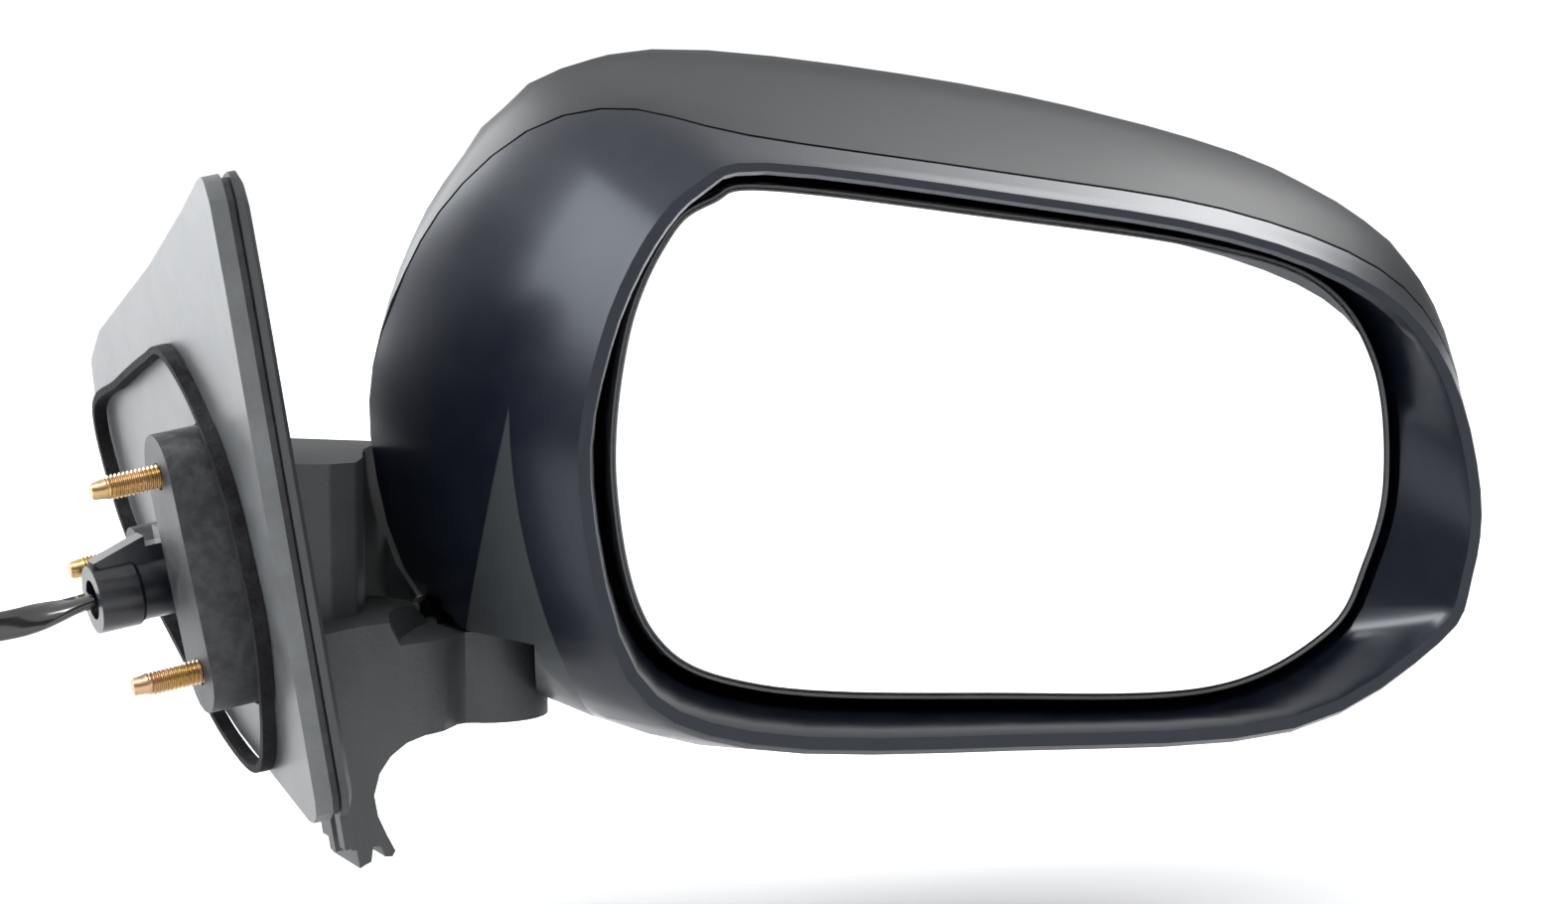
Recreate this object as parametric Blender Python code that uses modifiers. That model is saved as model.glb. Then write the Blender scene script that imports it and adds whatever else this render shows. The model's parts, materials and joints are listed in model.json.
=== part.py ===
"""Right-hand car door mirror: sail base with studs, folding head and powered glass.

Lengths below are millimetres; the helpers turn them into metres.
+X points outboard, +Y to the front of the car, +Z up. The origin is the centre of the
face that seats on the door.
"""

import math

import bmesh
import bpy
import numpy as np
from mathutils import Matrix, Vector

MM = 0.001
GAP = 0.3  # clearance between pieces that seat on each other

# ---- places -------------------------------------------------------------------------
DOOR_LEAN = math.radians(9.0)  # the door face leans in towards the roof
SEAT_POINT = (-9.5, 1.0)  # the middle of the door seat, on the door plane
GLASS_CENTRE = Vector((190.0, -54.0, 28.5))
FOLD_AXIS = Vector((76.0, -8.0, 0.0))
PIVOT = FOLD_AXIS - GLASS_CENTRE  # the fold axis, seen from the glass
BALL_DEPTH = 16.0  # the glass turns about a ball this far behind it

# ---- head shell, seen from the glass centre: (x, z) anchors at three depths ----------
RIM_DEPTH, MID_DEPTH, FULL_DEPTH, NOSE_DEPTH = -11.0, 18.0, 52.0, 97.0
RIM = (
    (-114, -4), (-109, 29), (-97, 54), (-83, 66.5), (-65, 70), (-2, 60.5), (56, 49.5), (97, 33.5),
    (117, 12), (126, -18), (124, -40), (115, -56), (74, -75), (0, -74), (-70, -68), (-102, -50),
)
MID = (
    (-131, -4), (-125, 34), (-112, 63), (-94, 80), (-66, 83), (0, 73), (62, 62), (110, 45),
    (130, 20), (134, -14), (130, -38), (118, -57), (76, -76), (0, -75.5), (-76, -71), (-118, -48),
)
FULL = (
    (-139, 0), (-134, 33), (-120, 61), (-98, 84), (-66, 91.5), (0, 83.5), (60, 70.5), (104, 54),
    (126, 29), (129, -10), (122, -38), (106, -58), (66, -73), (0, -74.5), (-80, -69), (-125, -43),
)
GLASS = (
    (-99.5, -6), (-96, 30), (-85, 53), (-74, 60.5), (-60, 63), (-2, 54.5), (54, 45), (87, 34),
    (103, 13), (106.5, -16), (101, -37), (90, -54), (58, -66), (0, -63.5), (-62, -57), (-90, -42),
)
# How far back the cap starts at each anchor: 0 rim, 1 mid, 2 full, 3 nose.
CAP_LINE = (2.1, 2.0, 1.75, 1.0, 0.32, 0.25, 0.25, 0.25, 0.3, 0.5, 0.9, 1.5, 1.95, 2.1, 2.15, 2.15)
NOSE_CENTRE = (-14.0, 6.0)
SHELL_WALL = 2.4
CAP_WALL = 2.2
AROUND = 64  # columns round the head

# ---- foot, arm and sail, seen from the fold axis or the door plane -------------------
FOOT_RADIUS = 15.0
FOOT_TOP, FOOT_BOTTOM = -15.5, -37.5
PLATE = 12.0  # inner face of the sail, out from the door seat
SAIL = (
    (-46, 71), (-45, 90), (-42.5, 96.5), (-38, 95), (-20, 86), (15, 70), (71, 48), (84, 39), (86, 28), (79, 4),
    (42, -28), (5, -43), (-49, -58),
)
GASKET = ((6, 52), (22, 49), (78, 29), (72, 5), (35, -28), (6, -45), (-21, -47), (-35, -16), (-27, 26))
STUDS = {"stud_upper": (-6, 24), "stud_lower": (-13, -22), "stud_front": (27, 0)}
STUD_RADIUS, STUD_LENGTH, STUD_ROOT = 3.0, 16.5, 9.0
SEAT_RADIUS = 10.0
COLLAR = (12, -5)  # centre of the harness collar on the door plane
COLLAR_MOUTH = -16.0
HARNESS_RADIUS = 3.5
HARNESS_ROUTE = (
    (-15.3, 12.0, -7.5), (-21.0, 12.0, -9.0), (-29.0, 12.0, -10.9), (-38.0, 12.3, -12.4),
    (-46.0, 13.0, -13.5), (-52.5, 13.8, -14.0), (-58.4, 14.0, -14.0),
)
COIL_CENTRE = Vector((-66.0, 14.0, -52.0))
COIL_RADIUS, COIL_HALF_WIDTH, COIL_HALF_HEIGHT = 38.0, 7.2, 3.9
SCREW_ARM = 24.0  # each jackscrew pushes this far from the ball
CARRIER_BACK = 7.5
CASE_RADIUS = 36.0
HUB_RADIUS, TUBE_RADIUS, TUBE_BORE = 10.5, 7.2, 4.4
CHEEK_END = (-17.9, -80.0)  # the head's cut beside the foot runs out towards here
FOLD_STEPS = (-45, -36, -27, -18, -9, 0, 6)  # degrees at which the arm is cleared for the head

PAINT = {
    "shell": ((0.030, 0.033, 0.045), 0.38, 0.0),
    "cap": ((0.050, 0.054, 0.062), 0.35, 0.0),
    "textured": ((0.060, 0.064, 0.068), 0.6, 0.0),
    "backplate": ((0.10, 0.105, 0.11), 0.35, 0.0),
    "cast": ((0.045, 0.046, 0.050), 0.5, 0.6),
    "rubber": ((0.02, 0.02, 0.021), 0.85, 0.0),
    "foam": ((0.025, 0.025, 0.027), 0.95, 0.0),
    "zinc": ((0.68, 0.52, 0.24), 0.32, 1.0),
    "steel": ((0.55, 0.55, 0.56), 0.35, 1.0),
    "nylon": ((0.75, 0.74, 0.70), 0.5, 0.0),
    "black_plastic": ((0.022, 0.022, 0.025), 0.45, 0.0),
    "mirror": ((0.92, 0.93, 0.94), 0.02, 1.0),
    "sleeve": ((0.020, 0.020, 0.022), 0.5, 0.0),
}


# ---- scene and helpers ---------------------------------------------------------------
def clear_scene():
    for obj in list(bpy.data.objects):
        bpy.data.objects.remove(obj, do_unlink=True)


def make_collection(name):
    collection = bpy.data.collections.new(name)
    bpy.context.scene.collection.children.link(collection)
    return collection


def material(name):
    """Each piece has a material of its own, in one of the finishes above."""
    colour, roughness, metallic = PAINT[name]
    made = bpy.data.materials.new(name)
    made.use_nodes = True
    shader = made.node_tree.nodes["Principled BSDF"]
    shader.inputs["Base Color"].default_value = (*colour, 1)
    shader.inputs["Roughness"].default_value = roughness
    shader.inputs["Metallic"].default_value = metallic
    return made


def make_frame(name, place, turn=0.0, parent=None):
    """An empty that pieces are parented to; `turn` is about its Y axis."""
    frame = bpy.data.objects.new(name, None)
    parts.objects.link(frame)
    frame.parent = parent
    frame.location = Vector(place) * MM
    frame.rotation_euler.y = turn
    return frame


def seat_shift():
    """What brings the middle of the door seat to the origin."""
    y, z = SEAT_POINT
    return Vector((z * math.sin(DOOR_LEAN), -y, -z * math.cos(DOOR_LEAN)))


def add_piece(name, mesh, finish, frame, offset=(0, 0, 0), smooth=True):
    obj = bpy.data.objects.new(name, mesh)
    parts.objects.link(obj)
    obj.parent = frame
    obj.location = Vector(offset) * MM
    mesh.materials.append(material(finish))
    if smooth:
        mesh.shade_smooth()
        mesh.set_sharp_from_angle(angle=math.radians(35))
    return obj


def add_cutter(name, mesh, frame, offset=(0, 0, 0)):
    obj = bpy.data.objects.new(name, mesh)
    cutters.objects.link(obj)
    obj.parent = frame
    obj.location = Vector(offset) * MM
    obj.hide_render = True
    obj.display_type = "WIRE"
    return obj


def combine(obj, other, operation):
    modifier = obj.modifiers.new(f"{operation.lower()} {other.name}", "BOOLEAN")
    modifier.operation = operation
    modifier.object = other


def mesh_from(bm, name):
    """Finish a bmesh drawn in millimetres as a mesh in metres."""
    bmesh.ops.recalc_face_normals(bm, faces=bm.faces)
    bmesh.ops.scale(bm, vec=(MM, MM, MM), verts=bm.verts)
    mesh = bpy.data.meshes.new(name)
    bm.to_mesh(mesh)
    bm.free()
    return mesh


def rounded(corners, radius, steps=4):
    """A closed outline with every corner rounded by an arc, as far as its sides allow."""
    outline = []
    count = len(corners)
    for index, corner in enumerate(corners):
        here = Vector(corner)
        before = Vector(corners[index - 1]) - here
        after = Vector(corners[(index + 1) % count]) - here
        half = before.angle(after) / 2
        reach = min(radius / math.tan(half), before.length * 0.48, after.length * 0.48)
        middle = (before.normalized() + after.normalized()).normalized()
        arc_radius = reach * math.tan(half)
        centre = here + middle * (reach / math.cos(half))
        start = here + before.normalized() * reach - centre
        sweep = (here + after.normalized() * reach - centre)
        turn = start.angle_signed(sweep)
        for step in range(steps + 1):
            angle = -turn * step / steps
            outline.append(centre + Matrix.Rotation(angle, 2) @ start)
        if arc_radius < 1e-6:
            outline.append(here)
    return outline


def circle(radius, segments=24, centre=(0, 0)):
    return [
        Vector((centre[0] + radius * math.cos(a), centre[1] + radius * math.sin(a)))
        for a in (2 * math.pi * k / segments for k in range(segments))
    ]


def slab(outline, low, high, axis="x", hole=None):
    """A flat outline pushed from `low` to `high` along an axis, with an optional hole.

    Outlines hold (y, z) for axis x, (x, z) for axis y and (x, y) for axis z.
    """
    order = {"x": lambda p, d: (d, p[0], p[1]), "y": lambda p, d: (p[0], d, p[1]), "z": lambda p, d: (p[0], p[1], d)}
    place = order[axis]
    bm = bmesh.new()
    loops = []
    for loop in filter(None, (outline, hole)):
        verts = [bm.verts.new(place(p, low)) for p in loop]
        loops.append([bm.edges.new((verts[k - 1], verts[k])) for k in range(len(verts))])
    edges = [edge for loop in loops for edge in loop]
    made = bmesh.ops.triangle_fill(bm, edges=edges, use_beauty=True, use_dissolve=False)
    faces = [item for item in made["geom"] if isinstance(item, bmesh.types.BMFace)]
    grown = bmesh.ops.extrude_face_region(bm, geom=faces)
    moved = [item for item in grown["geom"] if isinstance(item, bmesh.types.BMVert)]
    step = Vector(place((0, 0), high)) - Vector(place((0, 0), low))
    bmesh.ops.translate(bm, vec=step, verts=moved)
    return bm


def turned(name, profile, finish, frame, offset=(0, 0, 0), along="z", steps=24):
    """A (radius, height) profile, spun about Z and then laid along another axis."""
    bm = bmesh.new()
    for radius, height in profile:
        bm.verts.new((radius, 0, height))
    bm.verts.ensure_lookup_table()
    for index in range(len(profile) - 1):
        bm.edges.new((bm.verts[index], bm.verts[index + 1]))
    if profile[0][0] > 0 and profile[-1][0] > 0:
        bm.edges.new((bm.verts[len(profile) - 1], bm.verts[0]))
    bmesh.ops.spin(
        bm, geom=bm.verts[:] + bm.edges[:], cent=(0, 0, 0), axis=(0, 0, 1),
        angle=2 * math.pi, steps=steps, use_merge=True,
    )
    bmesh.ops.remove_doubles(bm, verts=bm.verts, dist=0.001)
    turn = {"z": Matrix.Identity(3), "y": Matrix.Rotation(math.radians(-90), 3, "X"),
            "x": Matrix.Rotation(math.radians(90), 3, "Y")}[along]
    bmesh.ops.transform(bm, matrix=turn.to_4x4(), verts=bm.verts)
    return add_piece(name, mesh_from(bm, name), finish, frame, offset)


def box(low, high):
    bm = bmesh.new()
    size = Vector(high) - Vector(low)
    middle = (Vector(high) + Vector(low)) / 2
    bmesh.ops.create_cube(bm, size=1, matrix=Matrix.Translation(middle) @ Matrix.Diagonal((*size, 1)))
    return bm


def cylinder(radius, low, high, axis="z", segments=24, centre=(0, 0)):
    return slab(circle(radius, segments, centre), low, high, axis)


# ---- head surface --------------------------------------------------------------------
def loop_point(anchors, s):
    """The point at s (counted in anchors) on a smooth closed curve through the anchors."""
    count = len(anchors)
    k = int(math.floor(s)) % count
    t = s - math.floor(s)
    a, b, c, d = (np.array(anchors[(k + j) % count], float) for j in (-1, 0, 1, 2))
    return 0.5 * (2 * b + (c - a) * t + (2 * a - 5 * b + 4 * c - d) * t**2 + (3 * b - a - 3 * c + d) * t**3)


def loop_normal(anchors, s):
    """The outward normal, in the (x, z) plane, of the closed curve at s."""
    along = loop_point(anchors, s + 0.02) - loop_point(anchors, s - 0.02)
    normal = np.array((-along[1], along[0]))
    return normal / np.linalg.norm(normal)


def hermite(start, end, leave, arrive, t):
    return (
        start * (2 * t**3 - 3 * t**2 + 1) + leave * (t**3 - 2 * t**2 + t)
        + end * (3 * t**2 - 2 * t**3) + arrive * (t**3 - t**2)
    )


def head_point(s, v):
    """The head's outer surface: v runs 0 rim, 1 mid, 2 full section, 3 nose."""
    rim, mid, full = (loop_point(section, s) for section in (RIM, MID, FULL))
    if v < 1:
        x, z = hermite(rim, mid, mid - rim, (full - rim) / 2, v)
        return Vector((x, RIM_DEPTH + (MID_DEPTH - RIM_DEPTH) * v, z))
    if v < 2:
        x, z = hermite(mid, full, (full - rim) / 2, (full - full), v - 1)
        return Vector((x, MID_DEPTH + (FULL_DEPTH - MID_DEPTH) * (v - 1), z))
    angle = (v - 2) * math.pi / 2
    shrink = max(math.cos(angle), 0.0) ** 0.86
    centre = np.array(NOSE_CENTRE)
    x, z = centre + (full - centre) * shrink
    return Vector((x, FULL_DEPTH + (NOSE_DEPTH - FULL_DEPTH) * math.sin(angle) ** 0.95, z))


def cap_line(s):
    return float(loop_point([(v, 0.0) for v in CAP_LINE], s)[0])


def columns():
    return [16 * k / AROUND for k in range(AROUND)]


def skin(rows, closed_end=None):
    """An open surface through rows of points; `closed_end` fans the last row to a point."""
    bm = bmesh.new()
    grid = [[bm.verts.new(p) for p in row] for row in rows]
    for low, high in zip(grid, grid[1:]):
        for k in range(len(low)):
            bm.faces.new((low[k - 1], low[k], high[k], high[k - 1]))
    if closed_end is not None:
        tip = bm.verts.new(closed_end)
        for k in range(len(grid[-1])):
            bm.faces.new((grid[-1][k - 1], grid[-1][k], tip))
    return bm


def face_outwards(bm, centre):
    """Turn every face of an open surface away from a point inside it."""
    bm.normal_update()
    bmesh.ops.recalc_face_normals(bm, faces=bm.faces)
    total = sum((f.calc_center_median() - Vector(centre)).dot(f.normal) * f.calc_area() for f in bm.faces)
    if total < 0:
        bmesh.ops.reverse_faces(bm, faces=bm.faces)


def shell_piece(name, bm, wall, finish, centre=(0, 40, 0)):
    face_outwards(bm, centre)
    bmesh.ops.scale(bm, vec=(MM, MM, MM), verts=bm.verts)
    mesh = bpy.data.meshes.new(name)
    bm.to_mesh(mesh)
    bm.free()
    obj = add_piece(name, mesh, finish, fold_axis, GLASS_CENTRE - FOLD_AXIS)
    solid = obj.modifiers.new("wall", "SOLIDIFY")
    solid.thickness = wall * MM
    solid.offset = -1
    solid.use_even_offset = True
    return obj


# ---- head: shells and glass ----------------------------------------------------------
def surface_normal(s, v):
    across = head_point(s + 0.02, v) - head_point(s - 0.02, v)
    back = head_point(s, v + 0.01) - head_point(s, v - 0.01)
    normal = across.cross(back).normalized()
    outward = head_point(s, v) - Vector((NOSE_CENTRE[0], 30, NOSE_CENTRE[1]))
    return normal if normal.dot(outward) > 0 else -normal


def inset_point(s, v, depth):
    return head_point(s, v) - surface_normal(s, v) * depth


def edge_point(anchors, s, inward, depth):
    """A point on an (x, z) outline moved inward along its normal, at a given depth."""
    x, z = loop_point(anchors, s) - loop_normal(anchors, s) * inward
    return Vector((x, depth, z))


def bead_radius(s):
    """The rolled lip is slimmer along the top."""
    top = max(0.0, 1 - abs(s - 5.2) / 3.0)
    return 3.0 - 1.1 * min(1.0, top * 1.6)


def housing():
    """The bezel: throat round the glass, rolled lip, outer skin and the ledge under the cap."""
    rows = [
        [edge_point(GLASS, s, -3.4, 13) for s in columns()],
        [edge_point(GLASS, s, -3.4, 1) for s in columns()],
    ]
    for angle in (180, 120, 60, 0):
        a = math.radians(angle)
        rows.append([
            edge_point(RIM, s, bead_radius(s) * (1 - math.cos(a)), RIM_DEPTH - bead_radius(s) * math.sin(a))
            for s in columns()
        ])
    for step in (0.3, 0.65, 1.0):
        rows.append([head_point(s, cap_line(s) * step) for s in columns()])
    rows.append([inset_point(s, cap_line(s), 3.4) for s in columns()])
    rows.append([inset_point(s, cap_line(s) + 0.14, 3.4) for s in columns()])
    piece = shell_piece("housing", skin(rows), SHELL_WALL, "shell")
    combine(piece, foot_clearance, "DIFFERENCE")
    hub_room = cylinder(HUB_RADIUS + 0.4, -60, -8, "z", 32)
    combine(piece, add_cutter("hub_room", mesh_from(hub_room, "hub_room"), fold_axis), "DIFFERENCE")
    return piece


def cap():
    """The painted outer cap, from its parting line to the nose."""
    rows = []
    for step in (0, 0.08, 0.18, 0.3, 0.42, 0.54, 0.66, 0.77, 0.86, 0.93):
        rows.append([head_point(s, cap_line(s) + 0.035 + (2.94 - cap_line(s)) * step) for s in columns()])
    tip = Vector((NOSE_CENTRE[0], NOSE_DEPTH, NOSE_CENTRE[1]))
    piece = shell_piece("cap", skin(rows, tip), CAP_WALL, "cap")
    combine(piece, foot_clearance, "DIFFERENCE")
    return piece


def head_inside():
    """The space inside the shells, as a cutter that trims what is built in the head."""
    rows = [[edge_point(GLASS, s, -7.5, 14.5) for s in columns()]]
    for v in (0.9, 1.3, 1.7, 2.1, 2.4, 2.7):
        rows.append([inset_point(s, v, 6.4) for s in columns()])
    bm = skin(rows, Vector((NOSE_CENTRE[0], NOSE_DEPTH - 6.4, NOSE_CENTRE[1])))
    start = bm.verts.new((0, 14.5, 0))
    bm.verts.ensure_lookup_table()
    for k in range(AROUND):
        bm.faces.new((bm.verts[k - 1 if k else AROUND - 1], bm.verts[k], start))
    return add_cutter("head_inside", mesh_from(bm, "head_inside"), fold_axis, GLASS_CENTRE - FOLD_AXIS)


def foot_clearance_cutter():
    """What the head leaves free for the foot and the arm, as it folds."""
    reach = FOOT_RADIUS + 1.5
    outline = [(-60, reach), (-60, -80), CHEEK_END]
    outline += [
        (reach * math.cos(a), reach * math.sin(a))
        for a in (math.radians(-62 + 152 * k / 14) for k in range(15))
    ]
    bm = slab(outline, -110, FOOT_TOP + 0.8, "z")
    return add_cutter("foot_clearance", mesh_from(bm, "foot_clearance"), fold_axis)


def glass_plate(name, finish, inward, low, high, rings=3):
    """A plate on the glass outline, bowed like a convex mirror."""
    bow = 3.6
    bm = bmesh.new()
    sides = []
    for depth in (low, high):
        loops = []
        for ring in range(rings):
            share = 1 - ring / rings
            loop = []
            for k in range(40):
                point = edge_point(GLASS, 16 * k / 40, inward, 0) * share
                point.y = depth - bow * (1 - share**2)
                loop.append(bm.verts.new(point))
            loops.append(loop)
        centre = bm.verts.new((0, depth - bow, 0))
        for outer, inner in zip(loops, loops[1:]):
            for k in range(40):
                bm.faces.new((outer[k - 1], outer[k], inner[k], inner[k - 1]))
        for k in range(40):
            bm.faces.new((loops[-1][k - 1], loops[-1][k], centre))
        sides.append(loops[0])
    for k in range(40):
        bm.faces.new((sides[0][k - 1], sides[1][k - 1], sides[1][k], sides[0][k]))
    return add_piece(name, mesh_from(bm, name), finish, glass_pivot, (0, -BALL_DEPTH, 0))


def glass_carrier():
    """Backing plate with the ball socket and the two screw sockets."""
    piece = glass_plate("glass_carrier", "black_plastic", 0.0, 2.6, 5.4)
    for place, radius in (((0, 0), 7.0), ((SCREW_ARM, 0), 6.5), ((0, SCREW_ARM), 6.5)):
        boss = cylinder(radius, 0.0, CARRIER_BACK, "y", 20, place)
        combine(piece, add_cutter(f"carrier_boss_{place[0]:.0f}", mesh_from(boss, "boss"), glass_pivot,
                                  (0, -BALL_DEPTH, 0)), "UNION")
    return piece


# ---- head: actuator and frame --------------------------------------------------------
def head_piece(name, bm, finish):
    return add_piece(name, mesh_from(bm, name), finish, fold_axis, GLASS_CENTRE - FOLD_AXIS)


def head_cutter(name, bm):
    return add_cutter(name, mesh_from(bm, name), fold_axis, GLASS_CENTRE - FOLD_AXIS)


def actuator():
    """Case, cover with the ball post, and for each axis a motor, worm, nut gear and jackscrew."""
    case = head_piece("actuator_case", cylinder(CASE_RADIUS, 21.3, 43.8, "y", 40), "black_plastic")
    combine(case, head_cutter("case_room", cylinder(CASE_RADIUS - 2, 20, 41.5, "y", 40)), "DIFFERENCE")
    cover = head_piece("actuator_cover", cylinder(CASE_RADIUS, 19.0, 21.0, "y", 40), "black_plastic")
    ball = bmesh.new()
    bmesh.ops.create_uvsphere(ball, u_segments=16, v_segments=10, radius=5.0,
                              matrix=Matrix.Translation((0, BALL_DEPTH, 0)))
    combine(cover, head_cutter("ball_post", ball), "UNION")
    for side, place in (("pan", Vector((SCREW_ARM, 0))), ("tilt", Vector((0, SCREW_ARM)))):
        hole = cylinder(3.4, 15, 24, "y", 16, place)
        combine(cover, head_cutter(f"screw_hole_{side}", hole), "DIFFERENCE")
        gear_train(side, place)


def gear_train(side, place):
    """Nut gear and jackscrew on `place`, with the worm and motor beside them."""
    at = GLASS_CENTRE - FOLD_AXIS
    teeth = [
        ((8.9 if k % 4 in (1, 2) else 7.9) * math.cos(a) + place.x,
         (8.9 if k % 4 in (1, 2) else 7.9) * math.sin(a) + place.y)
        for k, a in ((k, math.pi * k / 36) for k in range(72))
    ]
    head_piece(f"nut_gear_{side}", slab(teeth, 26, 32, "y", circle(3.3, 16, place)), "nylon")
    profile = [(0, 9.2), (2.4, 9.2), (3.4, 10.8), (3.4, 12.8), (2.6, 14.4), (2.9, 15.0), (2.9, 36.0), (2.2, 37.0), (0, 37.0)]
    turned(f"jackscrew_{side}", profile, "nylon", fold_axis, at + Vector((place.x, 0, place.y)), "y", 16)
    off = SCREW_ARM - 11.6
    if side == "pan":
        start, along, low, high = Vector((off, 29, 0)), "z", -9.4, 8.5
    else:
        start, along, low, high = Vector((0, 29, off)), "x", -9.4, 8.5
    worm = [(0, low), (2.2, low), (2.2, high), (0, high)]
    turned(f"worm_{side}", worm, "nylon", fold_axis, at + start, along, 12)
    motor = [(0, low - 16), (6.4, low - 16), (6.8, low - 15.4), (6.8, low - 1), (6.2, low - GAP), (0, low - GAP)]
    turned(f"motor_{side}", motor, "steel", fold_axis, at + start, along, 20)


def pivot_yoke():
    profile = [(5.6, 10.6), (8.0, 10.6), (8.0, 15.0), (5.6, 15.0)]
    turned("pivot_yoke", profile, "nylon", glass_pivot, (0, -BALL_DEPTH, 0), "y", 24)


def head_frame():
    """The plate that carries the actuator, and the hub that turns on the pivot tube."""
    outline = rounded([(-90, -34), (-122, -30), (-122, 26), (-60, 46), (46, 40), (62, 10), (50, -46), (-60, -52)], 10, 4)
    frame = head_piece("head_frame", slab(outline, 44.2, 48.2, "y"), "cast")
    hub = cylinder(HUB_RADIUS, FOOT_TOP + 1.2, 30.0, "z", 32)
    combine(frame, add_cutter("hub", mesh_from(hub, "hub"), fold_axis), "UNION")
    for k, z in enumerate((-30.0, 18.0)):
        rib = box((-112, 44.4, z - 1.5), (44, 54, z + 1.5))
        combine(frame, head_cutter(f"frame_rib_{k}", rib), "UNION")
    bore = cylinder(TUBE_RADIUS + 0.5, -80, 80, "z", 32)
    combine(frame, add_cutter("hub_bore", mesh_from(bore, "hub_bore"), fold_axis), "DIFFERENCE")
    stack = cylinder(14.0, 30.0, 90, "z", 32)
    combine(frame, add_cutter("spring_room", mesh_from(stack, "spring_room"), fold_axis), "DIFFERENCE")
    window = rounded([(-84, -18), (-84, 12), (-54, 12), (-54, -18)], 6, 3)
    combine(frame, head_cutter("frame_window", slab(window, 40, 60, "y")), "DIFFERENCE")
    combine(frame, inside, "INTERSECT")


def foot_shroud():
    """The head's own floor over the foot, with the curved wall beside it."""
    reach = FOOT_RADIUS + 1.9
    arc = [math.radians(-62 + 152 * k / 14) for k in range(15)]
    x, y = CHEEK_END
    wall = [(x + 0.5, y)] + [(reach * math.cos(a), reach * math.sin(a)) for a in arc] + [(-60, reach)]
    back = reach + 2
    wall += [(-60, back)] + [(back * math.cos(a), back * math.sin(a)) for a in reversed(arc)] + [(x + 2.9, y)]
    shroud = add_piece("foot_shroud", mesh_from(slab(wall, -60, FOOT_TOP + 2.6, "z"), "foot_shroud"),
                       "textured", fold_axis)
    floor = slab(circle(reach + 1.0, 32), FOOT_TOP + 1.1, FOOT_TOP + 2.9, "z")
    combine(shroud, add_cutter("shroud_floor", mesh_from(floor, "floor"), fold_axis), "UNION")
    bore = cylinder(HUB_RADIUS + GAP, -80, 80, "z", 32)
    combine(shroud, add_cutter("shroud_bore", mesh_from(bore, "bore"), fold_axis), "DIFFERENCE")
    combine(shroud, inside, "INTERSECT")


def fold_pivot():
    """Tube, detent washer, spring and retainer that hold the head on the foot."""
    tube = [(TUBE_RADIUS, 47.0), (TUBE_RADIUS, -30.0), (TUBE_BORE, -30.0), (TUBE_BORE, 47.0)]
    turned("pivot_tube", tube, "steel", fold_axis_fixed, along="z", steps=32)
    washer = [(11.0, 33.0), (11.0, 30.4), (7.6, 30.4), (7.6, 33.0)]
    turned("detent_washer", washer, "steel", fold_axis_fixed, steps=32)
    retainer = [(11.2, 46.0), (11.2, 43.4), (7.5, 43.4), (7.5, 46.0)]
    turned("spring_retainer", retainer, "steel", fold_axis_fixed, steps=32)
    wire, coil_radius, low, high, turns = 0.9, 9.3, 34.3, 42.1, 3.5
    spline_points = [
        (coil_radius * math.cos(a), coil_radius * math.sin(a), low + (high - low) * a / (2 * math.pi * turns))
        for a in (2 * math.pi * turns * k / 56 for k in range(57))
    ]
    tube_piece("fold_spring", spline_points, wire, "steel", fold_axis_fixed, 1)


def tube_piece(name, points, radius, finish, frame, resolution=2):
    curve = bpy.data.curves.new(name, "CURVE")
    curve.dimensions = "3D"
    curve.bevel_depth = radius * MM
    curve.bevel_resolution = resolution
    curve.use_fill_caps = True
    spline = curve.splines.new("POLY")
    spline.points.add(len(points) - 1)
    for target, point in zip(spline.points, points):
        target.co = (*(Vector(point) * MM), 1)
    obj = bpy.data.objects.new(name, curve)
    parts.objects.link(obj)
    obj.parent = frame
    curve.materials.append(material(finish))
    return obj


# ---- base ----------------------------------------------------------------------------
def inset(corners, distance):
    """The corners of an outline after each side has moved inward by a distance."""
    count = len(corners)
    points = [Vector(corner) for corner in corners]
    area = sum(points[k - 1].cross(points[k]) for k in range(count))
    sign = 1 if area > 0 else -1
    moved = []
    for k in range(count):
        before = (points[k] - points[k - 1]).normalized()
        after = (points[(k + 1) % count] - points[k]).normalized()
        middle = Vector((-(before + after).y, (before + after).x)).normalized()
        side = Vector((-before.y, before.x))
        moved.append(points[k] + middle * (sign * distance / max(middle.dot(side), 0.3)))
    return moved


def boss_outline(grow=0.0):
    """A stadium round the two rear studs."""
    top, bottom = Vector(STUDS["stud_upper"]), Vector(STUDS["stud_lower"])
    lean = math.atan2(*(top - bottom).yx) - math.pi / 2
    radius = SEAT_RADIUS + grow
    outline = []
    for centre, start in ((top, 0.0), (bottom, math.pi)):
        for k in range(11):
            a = lean + start + math.pi * k / 10
            outline.append(centre + Vector((math.cos(a), math.sin(a))) * radius)
    return outline


def door_piece(name, bm, finish):
    return add_piece(name, mesh_from(bm, name), finish, door_plane)


def door_cutter(name, bm):
    return add_cutter(name, mesh_from(bm, name), door_plane)


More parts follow.
